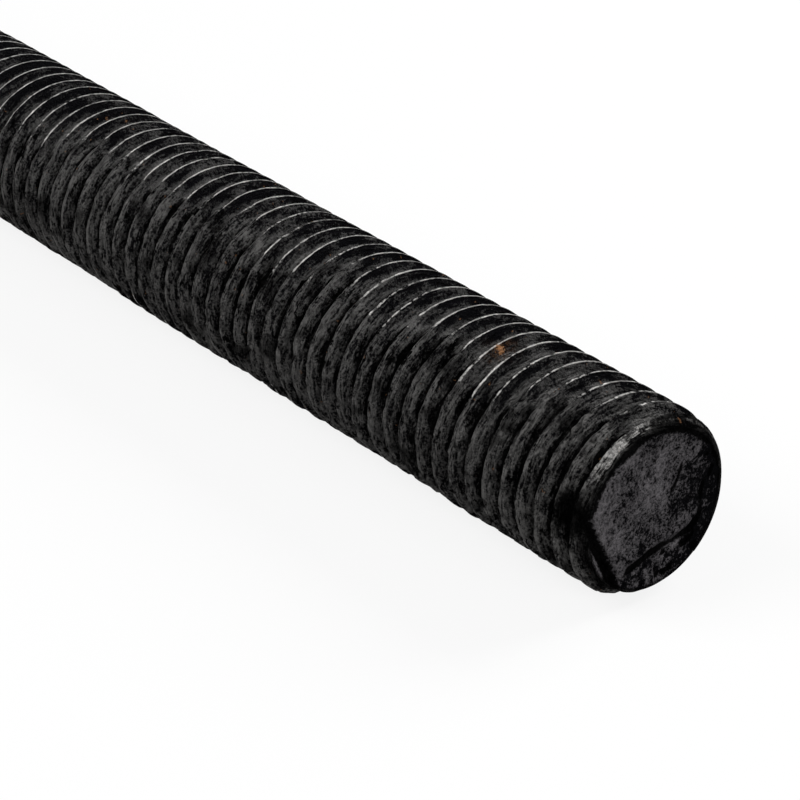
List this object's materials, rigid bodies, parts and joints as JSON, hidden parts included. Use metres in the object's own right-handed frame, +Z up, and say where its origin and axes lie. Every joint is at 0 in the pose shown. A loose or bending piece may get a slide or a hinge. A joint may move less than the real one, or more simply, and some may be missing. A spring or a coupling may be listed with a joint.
{
  "type": "threaded rod",
  "caption": "Straight blackened steel rod with a left-hand thread from end to end and a worn, chamfered end face.",
  "frame": {"origin": "centre of the finished end face, the one turned to the viewer in the picture", "axes": "+X along the rod's axis and out of that end face, so the middle of the rod runs level from x = 0 to x = -0.150; +Z up"},
  "size_m": [0.1504, 0.016, 0.016],
  "materials": {
    "steel": "blackened and worn, satin, with bright crest edges, dark grime in the grooves and a few rust specks"
  },
  "bodies": {
    "root": {"rod": "steel"}
  },
  "joints": []
}
